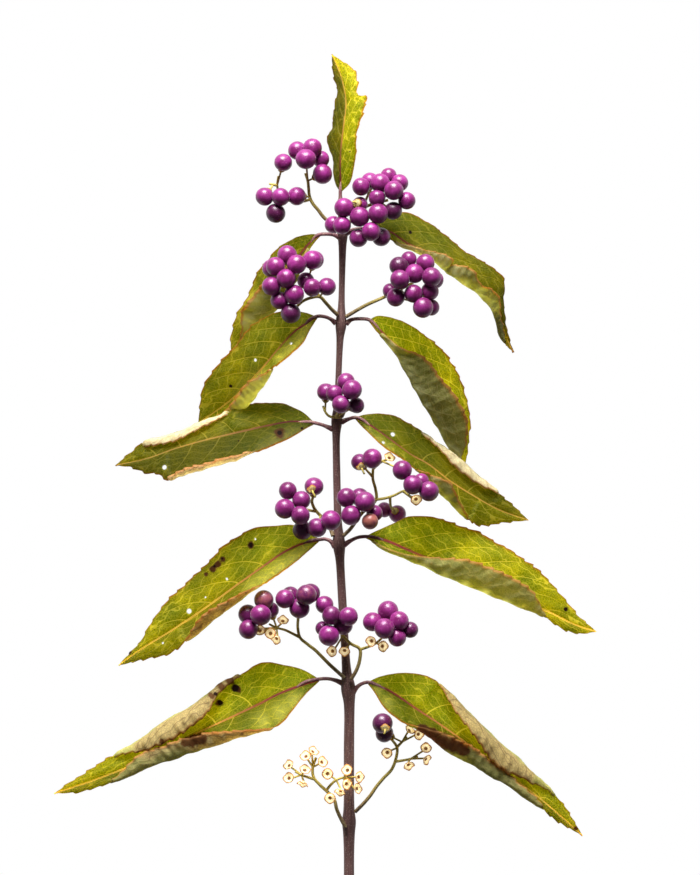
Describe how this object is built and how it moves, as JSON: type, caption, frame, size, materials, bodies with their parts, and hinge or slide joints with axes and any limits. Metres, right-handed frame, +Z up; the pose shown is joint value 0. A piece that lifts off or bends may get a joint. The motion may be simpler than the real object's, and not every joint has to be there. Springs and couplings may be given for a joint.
{
  "type": "beautyberry branch",
  "caption": "Cut branch of purple beautyberry lying flat: slim woody stem, paired toothed leaves with rolled edges, and forked clusters of small round berries at the leaf axils.",
  "frame": {"origin": "on the surface, under the middle of the branch's bounding box", "axes": "+X to the right as a viewer looks down, +Y along the branch towards its end leaf, +Z up from the surface it lies on"},
  "size_m": [0.108, 0.1671, 0.0206],
  "materials": {
    "bark": "matte",
    "leaf": "satin",
    "fruit_stalk": "matte",
    "berry": "gloss"
  },
  "bodies": {
    "root": {"stem": "bark", "leaf_end": "leaf", "leaf_left_2": "leaf", "leaf_left_3": "leaf", "leaf_left_4": "leaf", "leaf_left_5": "leaf", "leaf_left_6": "leaf", "leaf_right_2": "leaf", "leaf_right_3": "leaf", "leaf_right_4": "leaf", "leaf_right_5": "leaf", "leaf_right_6": "leaf", "cyme_a_stalk": "fruit_stalk", "cyme_a_berries_1": "berry", "cyme_a_berries_2": "berry", "cyme_a_berries_3": "berry", "cyme_b_stalk": "fruit_stalk", "cyme_b_berries_1": "berry", "cyme_b_berries_2": "berry", "cyme_b_berries_3": "berry", "cyme_b_berries_4": "berry", "cyme_b_berries_5": "berry", "cyme_b_berries_6": "berry", "cyme_c_stalk": "fruit_stalk", "cyme_c_berries_1": "berry", "cyme_c_berries_2": "berry", "cyme_d_stalk": "fruit_stalk", "cyme_d_berries_1": "berry", "cyme_d_berries_2": "berry", "cyme_e_stalk": "fruit_stalk", "cyme_e_berries_1": "berry", "cyme_e_berries_2": "berry", "cyme_e_berries_3": "berry", "cyme_f_stalk": "fruit_stalk", "cyme_f_berries_1": "berry", "cyme_f_berries_2": "berry", "cyme_f_berries_3": "berry", "cyme_f_berries_4": "berry", "cyme_g_stalk": "fruit_stalk", "cyme_g_berries_1": "berry", "cyme_g_berries_2": "berry", "cyme_g_berries_3": "berry", "cyme_g_berries_4": "berry", "cyme_g_berries_5": "berry", "cyme_g_berries_6": "berry", "cyme_h_stalk": "fruit_stalk", "cyme_h_berries_1": "berry", "cyme_h_berries_2": "berry", "cyme_h_berries_3": "berry", "cyme_i_stalk": "fruit_stalk", "cyme_i_berries_1": "berry", "cyme_i_berries_2": "berry", "cyme_i_berries_3": "berry", "cyme_j_stalk": "fruit_stalk", "cyme_k_stalk": "fruit_stalk", "cyme_k_berries_1": "berry"}
  },
  "joints": []
}
